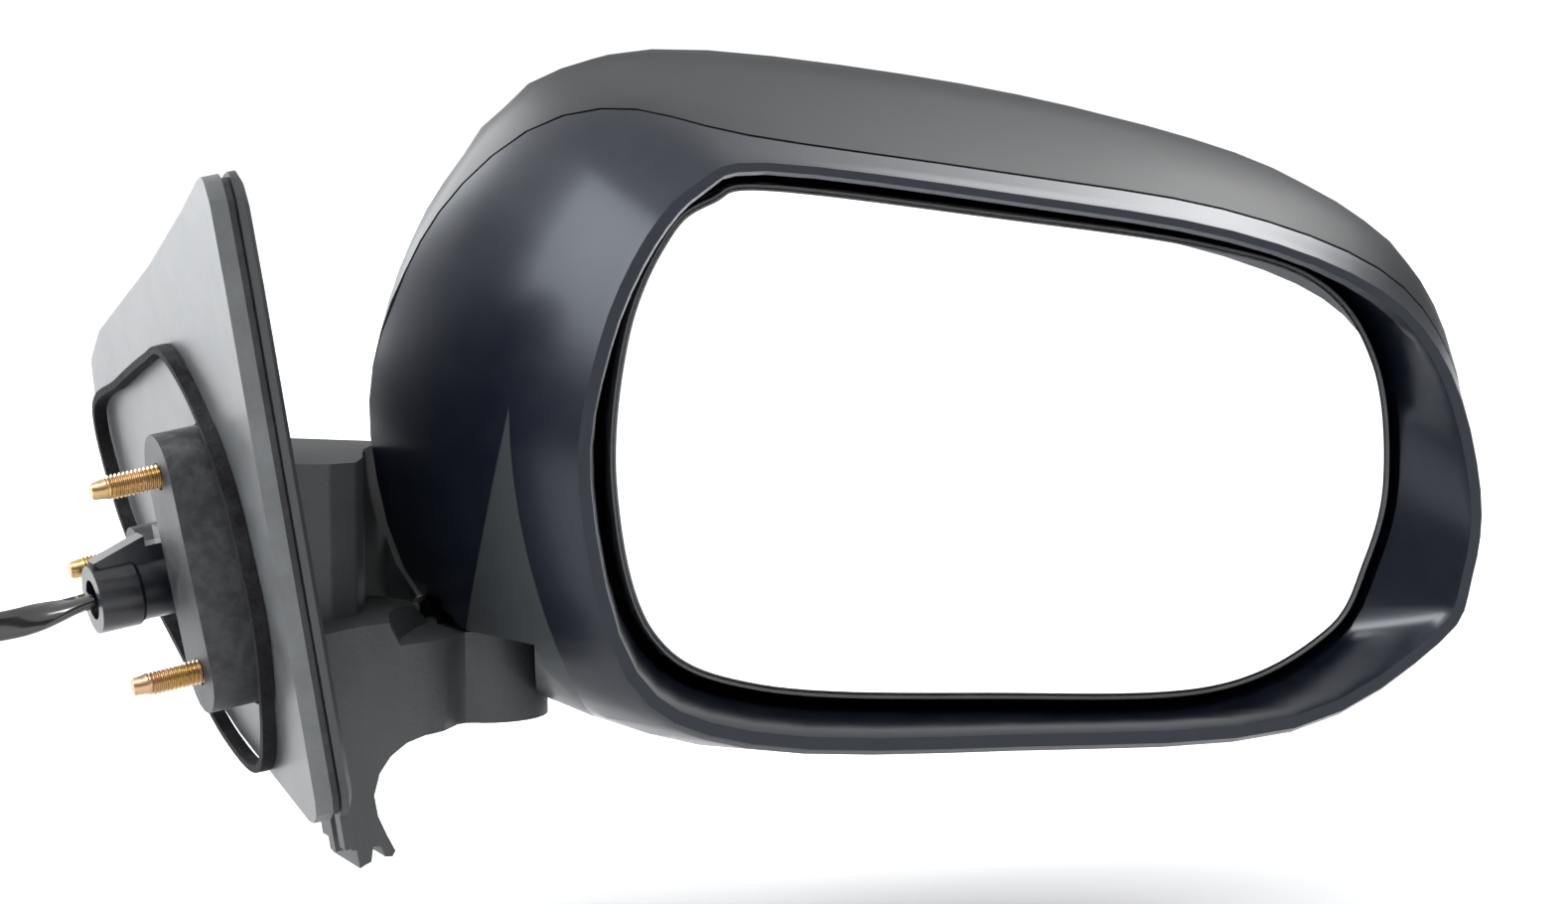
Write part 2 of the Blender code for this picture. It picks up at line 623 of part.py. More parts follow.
def sail_backplate():
    """The tray behind the sail, with a raised rim and an opening for the boss."""
    edge = rounded(SAIL, 6, 3)
    plate = door_piece("sail_backplate", slab(edge, PLATE, PLATE + 4.2), "backplate")
    combine(plate, door_cutter("tray", slab(rounded(inset(SAIL, 2.2), 4, 3), PLATE + 1.8, PLATE + 6)), "DIFFERENCE")
    opening = slab(boss_outline(0.6), 5, 30)
    combine(plate, door_cutter("boss_opening", opening), "DIFFERENCE")
    combine(plate, door_cutter("front_opening", cylinder(7.6, 5, 30, "x", 20, STUDS["stud_front"])), "DIFFERENCE")
    combine(plate, door_cutter("collar_opening", cylinder(5.4, 5, 30, "x", 20, COLLAR)), "DIFFERENCE")
    seal = slab(rounded(inset(SAIL, 1.0), 5, 3), PLATE + 4.5, PLATE + 6.1, "x", rounded(inset(SAIL, 3.4), 3, 3))
    door_piece("edge_seal", seal, "rubber")
    loop = rounded(GASKET, 9, 3)
    door_piece("door_gasket", slab(loop, PLATE - 3.6, PLATE - GAP, "x", rounded(inset(GASKET, 3.4), 6, 3)), "foam")


def sail_block(grow):
    """The sail's outer form as a closed solid: `grow` stands it off the surface."""
    edge = rounded(SAIL, 6, 3)
    middle = Vector((8, 12))
    levels = ((0.0, PLATE - 30), (0.0, PLATE + 8.2), (0.03, PLATE + 9.6), (0.12, PLATE + 10.6), (0.5, PLATE + 12.4))
    bm = bmesh.new()
    rows = []
    for shrink, depth in levels:
        row = [middle + (p - middle) * (1 - shrink) for p in edge]
        rows.append([bm.verts.new((depth + grow, p.x, p.y)) for p in row])
    for low, high in zip(rows, rows[1:]):
        for k in range(len(low)):
            bm.faces.new((low[k - 1], low[k], high[k], high[k - 1]))
    for row in (rows[0], rows[-1]):
        bm.faces.new(row)
    return bm


def sail_cover():
    """The outer shell of the sail, with the two fingers at its lower edge."""
    cover = door_piece("sail_cover", sail_block(0.0), "textured")
    combine(cover, door_cutter("sail_back", box((-60, -120, -120), (PLATE + 6.4, 160, 160))), "DIFFERENCE")
    combine(cover, door_cutter("sail_hollow", slab(rounded(inset(SAIL, 2.4), 4, 3), 0, PLATE + 8.6)), "DIFFERENCE")
    for k, (y, length) in enumerate(((-42, 7), (-34, 9))):
        finger = box((PLATE + 6.6, y - 2, -57 - length), (PLATE + 9.0, y + 2, -50))
        combine(cover, door_cutter(f"finger_{k}", finger), "UNION")
    combine(cover, core_room, "DIFFERENCE")


def base_bracket():
    """The casting: stud bosses, the web behind the tray and the core of the arm."""
    bracket = door_piece("base_bracket", slab(boss_outline(), 0, PLATE + 8), "cast")
    front = cylinder(7.0, 0, PLATE + 8, "x", 20, STUDS["stud_front"])
    combine(bracket, door_cutter("front_boss", front), "UNION")
    web = rounded([(-26, 38), (40, 34), (52, 4), (20, -28), (-28, -36)], 8, 3)
    combine(bracket, door_cutter("web", slab(web, PLATE + 4.6, PLATE + 7.8)), "UNION")
    combine(bracket, add_cutter("core", mesh_from(core_shape(0.0), "core"), fold_axis_fixed), "UNION")
    foot = cylinder(11.2, FOOT_BOTTOM + 3.4, FOOT_TOP - 1.0, "z", 28)
    combine(bracket, add_cutter("core_foot", mesh_from(foot, "core_foot"), fold_axis_fixed), "UNION")
    bore = cylinder(TUBE_RADIUS + GAP, -30.3, 20, "z", 32)
    combine(bracket, add_cutter("tube_bore", mesh_from(bore, "tube_bore"), fold_axis_fixed), "DIFFERENCE")
    for name, place in STUDS.items():
        hole = cylinder(STUD_RADIUS + GAP, -5, STUD_ROOT + GAP, "x", 16, place)
        combine(bracket, door_cutter(f"{name}_hole", hole), "DIFFERENCE")
    combine(bracket, door_cutter("wire_way", cylinder(5.0, 5, 30, "x", 16, COLLAR)), "DIFFERENCE")


def core_shape(grow):
    reach = 10.0 + grow
    outline = [(-55, -reach - 4), (-8, -reach), (-8, reach), (-55, reach + 4)]
    return slab(outline, FOOT_BOTTOM + 4.5 - grow, FOOT_TOP - 3.0 + grow, "z")


def studs():
    for name, place in STUDS.items():
        profile = [(0, -STUD_LENGTH), (1.9, -STUD_LENGTH), (2.5, -STUD_LENGTH + 1.0), (STUD_RADIUS, -STUD_LENGTH + 2.2),
                   (STUD_RADIUS, STUD_ROOT), (0, STUD_ROOT)]
        turned(name, profile, "zinc", door_plane, (0, *place), "x", 20)


def head_sweep(arm):
    """Clear the arm of the head's outer form at steps through its fold."""
    levels = (0, 0.5, 1, 1.4, 1.7, 2, 2.12, 2.25, 2.4, 2.6, 2.85)
    rows = [[inset_point(s, v, -1.8) for s in columns()] for v in levels]
    bm = skin(rows, Vector((NOSE_CENTRE[0], NOSE_DEPTH + 1, NOSE_CENTRE[1])))
    front = bm.verts.new((0, RIM_DEPTH - 4, 0))
    bm.verts.ensure_lookup_table()
    for k in range(AROUND):
        bm.faces.new((bm.verts[k - 1 if k else AROUND - 1], bm.verts[k], front))
    bmesh.ops.translate(bm, verts=bm.verts, vec=GLASS_CENTRE - FOLD_AXIS)
    form = mesh_from(bm, "head_form")
    for angle in FOLD_STEPS:
        cutter = add_cutter(f"head_at_{angle}", form, fold_axis_fixed)
        cutter.rotation_euler.z = math.radians(angle)
        combine(arm, cutter, "DIFFERENCE")


def arm_block(name, side, plan):
    """A solid with one outline from the side and another from above."""
    block = add_cutter(name, mesh_from(slab(side, -70, 70, "y"), name), fold_axis_fixed)
    combine(block, add_cutter(f"{name}_plan", mesh_from(slab(plan, -90, 60, "z"), f"{name}_plan"), fold_axis_fixed),
            "INTERSECT")
    return block


def arm_cover():
    """The textured skin of foot, ledge and arm; the upper part is cleared for the head."""
    side = [(-66, FOOT_TOP), (18, FOOT_TOP), (18, FOOT_BOTTOM), (-17, -37.4), (-23, -37.6), (-28, -38.8), (-32.5, -41.4),
            (-35.6, -45), (-37.2, -50), (-36.2, -55), (-33.7, -60), (-31.4, -64), (-32.3, -65.2), (-34.3, -65.0),
            (-35.5, -62.4), (-37.6, -62.0), (-38.2, -65.6), (-41.5, -66.6), (-42.6, -62), (-66, -60)]
    foot = [math.radians(-112 + 202 * k / 18) for k in range(19)]
    front = [(-66, -46), (-50, -34), (-40, -27.5), (-30, -24), (-22, -21.8), (-17.5, -19.6), (-14.2, -16), (-11.8, -13.2),
             (-9.4, -12.2), (-7.2, -12.9)]
    plan = front + [(FOOT_RADIUS * math.cos(a), FOOT_RADIUS * math.sin(a)) for a in foot]
    plan += [(-16, 13), (-38, 22), (-66, 32)]
    arm = add_piece("arm_cover", mesh_from(slab(side, -70, 70, "y"), "arm_cover"), "textured", fold_axis_fixed)
    combine(arm, add_cutter("arm_plan", mesh_from(slab(plan, -90, 60, "z"), "arm_plan"), fold_axis_fixed), "INTERSECT")
    behind = box((-80, -8, -90), (-20, 60, -46))
    combine(arm, add_cutter("tail_back", mesh_from(behind, "tail_back"), fold_axis_fixed), "DIFFERENCE")
    wall = rounded([(-66, -22), (-44, -17), (-36, -12), (-31, -2), (-27, 10), (-18, 19), (-10, 21), (0, 32), (-66, 34)], 4, 4)
    upper = arm_block("upper_arm", [(-66, 29), (0, 23.5), (0, FOOT_TOP + 0.4), (-66, FOOT_TOP + 0.4)], wall)
    ledge = arm_block("ledge", [(-66, -9.4), (-24, -9.8), (-15, -11.4), (-8, FOOT_TOP - 1), (-66, FOOT_TOP - 1)], plan)
    combine(upper, ledge, "UNION")
    head_sweep(upper)
    combine(arm, upper, "UNION")
    combine(arm, door_cutter("sail_seat", sail_block(GAP)), "DIFFERENCE")
    combine(arm, door_cutter("arm_end", box((-60, -120, -120), (PLATE + 10, 160, 160))), "DIFFERENCE")
    combine(arm, core_room, "DIFFERENCE")
    room = cylinder(11.6, FOOT_BOTTOM + 3.0, FOOT_TOP + 5, "z", 28)
    combine(arm, add_cutter("foot_room", mesh_from(room, "foot_room"), fold_axis_fixed), "DIFFERENCE")


def harness_guide():
    """The collar that the harness comes out of, with its snap hook."""
    profile = [(8.2, COLLAR_MOUTH), (8.2, COLLAR_MOUTH + 10), (7.4, COLLAR_MOUTH + 11), (7.4, PLATE - GAP), (4.8, PLATE - GAP), (4.8, COLLAR_MOUTH)]
    guide = turned("harness_guide", profile, "black_plastic", door_plane, (0, *COLLAR), "x", 24)
    y, z = COLLAR
    bm = slab([(-15, z + 9), (-2, z + 13), (-2, z + 10.5), (2, z + 10.5), (2, z + 14), (6, z + 14), (6, z + 5), (-12, z + 5)], y - 3, y + 3, "y")
    combine(guide, door_cutter("snap_hook", bm), "UNION")
    clear = cylinder(4.8, COLLAR_MOUTH - 1, PLATE + 1, "x", 24, COLLAR)
    combine(guide, door_cutter("guide_bore", clear), "DIFFERENCE")


def smooth_route(points, steps):
    """Points along a smooth open curve through the route."""
    ends = [Vector(points[0]) * 2 - Vector(points[1])] + [Vector(p) for p in points]
    ends.append(Vector(points[-1]) * 2 - Vector(points[-2]))
    line = []
    for k in range(1, len(ends) - 2):
        for step in range(steps):
            line.append(Vector(loop_point(ends[k - 1:k + 3], 1 + step / steps)))
    return line + [Vector(points[-1])]


def harness():
    """The wiring lead: the run out of the collar, the tied coil and its connector."""
    tube_piece("harness", smooth_route(HARNESS_ROUTE, 2), HARNESS_RADIUS, "sleeve", door_seat)
    inner, outer = COIL_RADIUS - COIL_HALF_HEIGHT, COIL_RADIUS + COIL_HALF_HEIGHT
    wide = COIL_HALF_WIDTH
    ring = [(outer, wide - 2), (outer, 2 - wide), (outer - 2, -wide), (inner + 2, -wide),
            (inner, 2 - wide), (inner, wide - 2), (inner + 2, wide), (outer - 2, wide)]
    turned("harness_coil", ring, "sleeve", door_seat, COIL_CENTRE, "x", 32)
    x, y, z = COIL_CENTRE
    band = rounded([(x - wide - 1.4, y + inner - 1.4), (x + wide + 1.4, y + inner - 1.4),
                    (x + wide + 1.4, y + outer + 1.4), (x - wide - 1.4, y + outer + 1.4)], 2, 3)
    room = rounded([(x - wide - 0.4, y + inner - 0.9), (x + wide + 0.4, y + inner - 0.9),
                    (x + wide + 0.4, y + outer + 0.4), (x - wide - 0.4, y + outer + 0.4)], 1, 2)
    add_piece("harness_tie", mesh_from(slab(band, z - 1.8, z + 1.8, "z", room), "harness_tie"), "black_plastic", door_seat)
    body = [(x - 7.5, y - 31), (x + 7.5, y - 31), (x + 7.5, y - 18), (x - 7.5, y - 18)]
    room = [(x - 6, y - 29.5), (x + 6, y - 29.5), (x + 6, y - 19.5), (x - 6, y - 19.5)]
    plug = add_piece("harness_connector", mesh_from(slab(rounded(body, 1.5, 2), z - 8, z + 12, "z"), "plug"),
                     "black_plastic", door_seat)
    socket = slab(room, z - 2, z + 20, "z")
    combine(plug, add_cutter("connector_socket", mesh_from(socket, "socket"), door_seat), "DIFFERENCE")
    latch = box((x - 2.5, y - 18.3, z - 4), (x + 2.5, y - 15.5, z + 8))
    combine(plug, add_cutter("connector_latch", mesh_from(latch, "latch"), door_seat), "UNION")


def build():
    foot_shroud()
    head_frame()
    housing()
    cap()
    glass_plate("mirror_glass", "mirror", 0.0, 0.0, 2.3)
    glass_carrier()
    pivot_yoke()
    actuator()
    fold_pivot()
    base_bracket()
    sail_backplate()
    sail_cover()
    arm_cover()
    studs()
    harness_guide()
    harness()


clear_scene()
parts = make_collection("car_side_mirror")
cutters = make_collection("cutters")
cutters.hide_render = True
door_seat = make_frame("door_seat", seat_shift())
door_plane = make_frame("door_plane", (0, 0, 0), -DOOR_LEAN, door_seat)
fold_axis_fixed = make_frame("fold_axis_fixed", FOLD_AXIS, 0, door_seat)
fold_axis = make_frame("fold_axis", FOLD_AXIS, 0, door_seat)
glass_pivot = make_frame("glass_pivot", GLASS_CENTRE - FOLD_AXIS + Vector((0, BALL_DEPTH, 0)), parent=fold_axis)
foot_clearance = foot_clearance_cutter()
inside = head_inside()
core_room = add_cutter("core_room", mesh_from(core_shape(0.4), "core_room"), fold_axis_fixed)
build()
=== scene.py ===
import json
import math

import bmesh
import bpy
from mathutils import Matrix, Vector


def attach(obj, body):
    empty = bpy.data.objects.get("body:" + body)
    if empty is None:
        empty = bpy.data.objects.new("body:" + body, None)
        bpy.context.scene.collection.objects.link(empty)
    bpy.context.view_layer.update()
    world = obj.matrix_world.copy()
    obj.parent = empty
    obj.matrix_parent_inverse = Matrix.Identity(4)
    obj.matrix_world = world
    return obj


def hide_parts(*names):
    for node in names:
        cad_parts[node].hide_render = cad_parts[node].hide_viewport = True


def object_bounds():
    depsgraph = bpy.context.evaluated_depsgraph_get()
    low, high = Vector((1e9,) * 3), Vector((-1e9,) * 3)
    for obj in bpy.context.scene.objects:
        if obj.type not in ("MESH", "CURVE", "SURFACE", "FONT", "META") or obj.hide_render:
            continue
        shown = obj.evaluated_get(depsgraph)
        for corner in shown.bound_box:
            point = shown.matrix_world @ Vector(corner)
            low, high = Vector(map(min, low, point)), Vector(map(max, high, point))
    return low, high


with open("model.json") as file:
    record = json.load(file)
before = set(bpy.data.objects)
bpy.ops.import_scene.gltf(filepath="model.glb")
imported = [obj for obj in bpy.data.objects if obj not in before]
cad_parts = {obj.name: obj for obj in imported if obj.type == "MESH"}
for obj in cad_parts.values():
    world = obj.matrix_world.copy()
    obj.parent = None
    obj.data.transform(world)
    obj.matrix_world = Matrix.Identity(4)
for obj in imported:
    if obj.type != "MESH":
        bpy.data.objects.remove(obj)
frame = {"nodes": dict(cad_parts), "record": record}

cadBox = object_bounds()
for leftover in ("Cube", "Light", "Camera"):
    if leftover in bpy.data.objects:
        bpy.data.objects.remove(bpy.data.objects[leftover])
nodes = frame["nodes"]
mm = 0.001
doorLean = math.radians(9)
seat = Vector((0.156, 9.5, -0.988)) * mm  # from the drawing's zero to the door seat
glassCentre = Vector((190, -54, 28.5)) * mm + seat
foldAxis = Vector((76, -8, 0)) * mm + seat
doorTurn = Matrix.Translation(seat) @ Matrix.Rotation(-doorLean, 4, "Y")  # door plane to row
print("frame loaded:", len(nodes), "nodes")

# the camera, floor and lights
studio = {
    "lens": 125.06,
    "cameraOffset": (-550.4, -1165.4, 177.6),  # mm from the middle of the glass
    "cameraForward": (0.38693, 0.91155, -0.13917),
    "floorDrop": 2.0,  # mm under the lowest point
    "floorColor": (0.94, 0.94, 0.945),
    "skyColor": (0.93, 0.96, 1.0),
    "skyStrength": 0.26,
    "sunStrength": 2.75,
    "sunAngle": 120,
    "lights": {
        # name: place, aim, size, power, colour
        "shoulderSoftbox": ((-0.5, -0.42, 1.25), (0.1, 0, 0.08), (0.3, 0.35), 9, (1, 0.99, 0.98)),
        "bulgeSoftbox": ((-1.1, 0.1, 0.85), (0.1, 0, 0.03), (0.45, 0.9), 11, (0.96, 0.98, 1)),
        "edgeSoftbox": ((-0.45, 1.55, 0.35), (0.1, 0, 0.05), (0.9, 1.3), 26, (0.96, 0.98, 1)),
        "topSoftbox": ((0.95, 0.45, 0.75), (0.28, 0, 0.05), (0.4, 0.4), 3.5, (1, 1, 1)),
        "glassCard": ((1.9, -2.3, 0.1), (0.2, 0, 0.03), (2.6, 2.6), 26, (1, 1, 1)),
    },
}


def placeObject(name, data):
    thing = bpy.data.objects.new(name, data)
    bpy.context.scene.collection.objects.link(thing)
    return thing


def addCamera():
    data = bpy.data.cameras.new("camera")
    data.lens, data.sensor_width = studio["lens"], 36
    data.clip_start, data.clip_end = 0.05, 50
    camera = placeObject("camera", data)
    camera.location = glassCentre + Vector(studio["cameraOffset"]) * mm
    camera.rotation_mode = "QUATERNION"
    camera.rotation_quaternion = Vector(studio["cameraForward"]).to_track_quat("-Z", "Y")
    bpy.context.scene.camera = camera


def addLights():
    for name, (place, aim, size, power, color) in studio["lights"].items():
        data = bpy.data.lights.new(name, "AREA")
        data.shape = "RECTANGLE"
        data.size, data.size_y = size
        data.energy, data.color = power, color
        light = placeObject(name, data)
        light.location = place
        light.rotation_mode = "QUATERNION"
        light.rotation_quaternion = (Vector(aim) - Vector(place)).to_track_quat("-Z", "Y")


def addSun():
    data = bpy.data.lights.new("overheadSun", "SUN")
    data.energy, data.angle = studio["sunStrength"], math.radians(studio["sunAngle"])
    sun = placeObject("overheadSun", data)
    sun.location = (0, 0, 2)


def addFloor():
    low = cadBox[0]
    bm = bmesh.new()
    bmesh.ops.create_circle(bm, cap_ends=True, segments=96, radius=6)
    bmesh.ops.translate(bm, verts=bm.verts, vec=(0.1, 0.3, low.z - studio["floorDrop"] * mm))
    data = bpy.data.meshes.new("floor")
    bm.to_mesh(data)
    bm.free()
    floor = placeObject("floor", data)
    paint = bpy.data.materials.new("floorPaint")
    paint.use_nodes = True
    shader = paint.node_tree.nodes["Principled BSDF"]
    shader.inputs["Base Color"].default_value = (*studio["floorColor"], 1)
    shader.inputs["Roughness"].default_value = 0.9
    shader.inputs["Specular IOR Level"].default_value = 0.2
    data.materials.append(paint)


def addSky():
    world = bpy.data.worlds.new("studioSky")
    bpy.context.scene.world = world
    world.use_nodes = True
    sky = world.node_tree.nodes["Background"]
    sky.inputs["Color"].default_value = (*studio["skyColor"], 1)
    sky.inputs["Strength"].default_value = studio["skyStrength"]


addCamera()
addLights()
addSun()
addFloor()
addSky()
bpy.context.scene.view_settings.view_transform = "Standard"
print("studio set")


# shader node groups shared by the finishes
def startGroup(name, inputs, outputs):
    group = bpy.data.node_groups.new(name, "ShaderNodeTree")
    for label, kind, value in inputs:
        socket = group.interface.new_socket(name=label, in_out="INPUT", socket_type="NodeSocket" + kind)
        socket.default_value = value
    for label, kind in outputs:
        group.interface.new_socket(name=label, in_out="OUTPUT", socket_type="NodeSocket" + kind)
    return group, group.nodes.new("NodeGroupInput"), group.nodes.new("NodeGroupOutput")


def addNode(tree, kind, links=None, **settings):
    # links: socket name or index -> another socket, or a plain value
    node = tree.nodes.new("ShaderNode" + kind)
    for key, value in settings.items():
        setattr(node, key, value)
    for key, value in (links or {}).items():
        if isinstance(value, bpy.types.NodeSocket):
            tree.links.new(value, node.inputs[key])
        else:
            node.inputs[key].default_value = value
    return node


def addMath(tree, operation, *values):
    return addNode(tree, "Math", dict(enumerate(values)), operation=operation).outputs[0]


def mixColor(tree, factor, a, b):
    node = tree.nodes.new("ShaderNodeMix")
    node.data_type = "RGBA"
    for index, value in ((0, factor), (6, a), (7, b)):
        if isinstance(value, bpy.types.NodeSocket):
            tree.links.new(value, node.inputs[index])
        else:
            node.inputs[index].default_value = value
    return node.outputs[2]


def makeMottle():
    # slow drift of colour and gloss over a moulded face
    tree, start, end = startGroup(
        "mouldedMottle",
        [("Color", "Color", (0.1, 0.1, 0.1, 1)), ("Roughness", "Float", 0.5), ("Scale", "Float", 22.0),
         ("Drift", "Float", 0.2)],
        [("Color", "Color"), ("Roughness", "Float")],
    )
    place = addNode(tree, "TexCoord")
    cloud = addNode(tree, "TexNoise", {"Vector": place.outputs["Object"], "Scale": start.outputs["Scale"],
                                       "Detail": 4.0, "Roughness": 0.6})
    shift = addNode(tree, "MapRange", {"Value": cloud.outputs["Fac"], "From Min": 0.3, "From Max": 0.7,
                                       "To Min": -1.0, "To Max": 1.0})
    bright = addMath(tree, "ADD", addMath(tree, "MULTIPLY", shift.outputs[0], start.outputs["Drift"]), 1.0)
    color = addNode(tree, "VectorMath", {0: start.outputs["Color"], "Scale": bright}, operation="SCALE")
    tree.links.new(color.outputs[0], end.inputs["Color"])
    tree.links.new(addMath(tree, "MULTIPLY", start.outputs["Roughness"], bright), end.inputs["Roughness"])
    return tree


def makeGrain():
    # the pebbled grain of a textured tool, and the fine orange peel of a smooth one
    tree, start, end = startGroup(
        "mouldedGrain",
        [("Scale", "Float", 1800.0), ("Depth", "Float", 1.0), ("Peel", "Float", 0.0)],
        [("Height", "Float")],
    )
    place = addNode(tree, "TexCoord")
    pebble = addNode(tree, "TexVoronoi", {"Vector": place.outputs["Object"], "Scale": start.outputs["Scale"]},
                     feature="SMOOTH_F1")
    peel = addNode(tree, "TexNoise", {"Vector": place.outputs["Object"], "Scale": 260.0, "Detail": 2.0})
    deep = addMath(tree, "MULTIPLY", pebble.outputs["Distance"], start.outputs["Depth"])
    soft = addMath(tree, "MULTIPLY", peel.outputs["Fac"], start.outputs["Peel"])
    tree.links.new(addMath(tree, "ADD", deep, soft), end.inputs["Height"])
    return tree


def makeDust():
    # pale handling dust: more of it on faces that look up, broken by noise
    tree, start, end = startGroup(
        "shelfDust",
        [("Color", "Color", (0.1, 0.1, 0.1, 1)), ("Roughness", "Float", 0.5),
         ("Dust", "Color", (0.3, 0.3, 0.3, 1)), ("Amount", "Float", 0.3), ("Scale", "Float", 90.0)],
        [("Color", "Color"), ("Roughness", "Float")],
    )
    place = addNode(tree, "TexCoord")
    shape = addNode(tree, "NewGeometry")
    up = addNode(tree, "SeparateXYZ", {0: shape.outputs["Normal"]})
    tilt = addNode(tree, "MapRange", {"Value": up.outputs[2], "From Min": -0.6, "From Max": 1.0,
                                      "To Min": 0.25, "To Max": 1.0})
    specks = addNode(tree, "TexNoise", {"Vector": place.outputs["Object"], "Scale": start.outputs["Scale"],
                                        "Detail": 6.0, "Roughness": 0.7})
    sharp = addNode(tree, "MapRange", {"Value": specks.outputs["Fac"], "From Min": 0.42, "From Max": 0.72})
    film = addMath(tree, "MULTIPLY", sharp.outputs[0], tilt.outputs[0])
    mask = addMath(tree, "MULTIPLY", film, start.outputs["Amount"])
    color = mixColor(tree, mask, start.outputs["Color"], start.outputs["Dust"])
    rough = addNode(tree, "MapRange", {"Value": mask, "To Min": start.outputs["Roughness"], "To Max": 0.9})
    tree.links.new(color, end.inputs["Color"])
    tree.links.new(rough.outputs[0], end.inputs["Roughness"])
    return tree


mottleGroup, grainGroup, dustGroup = makeMottle(), makeGrain(), makeDust()


def placeGroup(tree, group, **values):
    node = tree.nodes.new("ShaderNodeGroup")
    node.node_tree = group
    for key, value in values.items():
        if isinstance(value, bpy.types.NodeSocket):
            tree.links.new(value, node.inputs[key])
        else:
            node.inputs[key].default_value = value
    return node


def plasticFinish(name, look):
    # one moulded plastic or rubber: mottle, then dust, over a grain bump; on the shell, a painted highlight
    # on its corner facet as well
    finish = bpy.data.materials.new(name)
    finish.use_nodes = True
    tree = finish.node_tree
    shader = tree.nodes["Principled BSDF"]
    mottle = placeGroup(tree, mottleGroup, Color=(*look["color"], 1), Roughness=look["roughness"],
                        Scale=look.get("mottleScale", 22.0), Drift=look.get("drift", 0.12))
    dust = placeGroup(tree, dustGroup, Color=mottle.outputs["Color"], Roughness=mottle.outputs["Roughness"],
                      Dust=(*look.get("dustColor", (0.32, 0.33, 0.34)), 1), Amount=look.get("dust", 0.0),
                      Scale=look.get("dustScale", 90.0))
    grain = placeGroup(tree, grainGroup, Scale=look.get("grainScale", 1800.0), Depth=look.get("grain", 0.0),
                       Peel=look.get("peel", 0.0))
    bump = addNode(tree, "Bump", {"Height": grain.outputs["Height"], "Strength": look.get("bump", 0.3),
                                  "Distance": look.get("bumpDistance", 0.0002)})
    color, rough = dust.outputs["Color"], dust.outputs["Roughness"]
    # painted highlight: inside the facet mask the colour turns much lighter, standing in for light on a facet
    # the shell's shape lacks; the gloss gets rougher there too
    if look.get("facetPaintedLight"):
        mask = placeGroup(tree, facetPaintedLightGroup).outputs["Mask"]
        color = mixColor(tree, mask, color, (*facetPaintedLight["color"], 1))
        blend = addNode(tree, "MapRange", {"Value": mask, "To Min": rough, "To Max": facetPaintedLight["roughness"]})
        rough = blend.outputs[0]
    tree.links.new(color, shader.inputs["Base Color"])
    tree.links.new(rough, shader.inputs["Roughness"])
    tree.links.new(bump.outputs["Normal"], shader.inputs["Normal"])
    shader.inputs["Specular IOR Level"].default_value = look.get("specular", 0.5)
    shader.inputs["Specular Tint"].default_value = (*look.get("tint", (1, 1, 1)), 1)
    shader.inputs["Coat Weight"].default_value = look.get("coat", 0.0)
    shader.inputs["Coat Roughness"].default_value = look.get("coatRoughness", 0.2)
    return finish


# painted light: the place, edges and lighter colour of the highlight painted on the shell's lower inboard
# corner
facetPaintedLight = {
    "apex": (67.65, -39.96, 41.82),  # mm, on the shell
    "across": (0.9205, -0.3907, 0.0),
    "down": (-0.0544, -0.1281, -0.9903),
    "leftSlope": 0.225,
    "rightBow": 3.3,  # how fast the right edge curves out, per metre
    "soft": 0.00025,
    # the painted highlight's colour, ten times lighter than the shell
    "color": (0.028, 0.031, 0.033),
    "roughness": 0.5,
}


def makeFacetPaintedLight():
    # mask of the painted highlight at the lower inboard corner of the shell, a lighter patch standing in for
    # the light an unmodelled facet would catch: below its apex, between two edges
    tree, start, end = startGroup("cornerFacetPaintedLight", [("Soft", "Float", facetPaintedLight["soft"])], [("Mask", "Float")])
    place = addNode(tree, "TexCoord")
    offset = addNode(tree, "VectorMath", {0: place.outputs["Object"], 1: Vector(facetPaintedLight["apex"]) * mm},
                     operation="SUBTRACT")
    across, down = (
        addNode(tree, "VectorMath", {0: offset.outputs[0], 1: facetPaintedLight[axis]},
                operation="DOT_PRODUCT").outputs["Value"]
        for axis in ("across", "down")
    )
    left = addMath(tree, "MULTIPLY_ADD", down, facetPaintedLight["leftSlope"], across)
    bowed = addMath(tree, "MULTIPLY", addMath(tree, "MULTIPLY", down, down), facetPaintedLight["rightBow"])
    right = addMath(tree, "SUBTRACT", bowed, across)
    inside = addMath(tree, "MINIMUM", addMath(tree, "MINIMUM", left, right), down)
    mask = addNode(tree, "MapRange", {"Value": inside, "From Min": 0.0, "From Max": start.outputs["Soft"]},
                   interpolation_type="SMOOTHSTEP")
    tree.links.new(mask.outputs[0], end.inputs["Mask"])
    return tree


facetPaintedLightGroup = makeFacetPaintedLight()


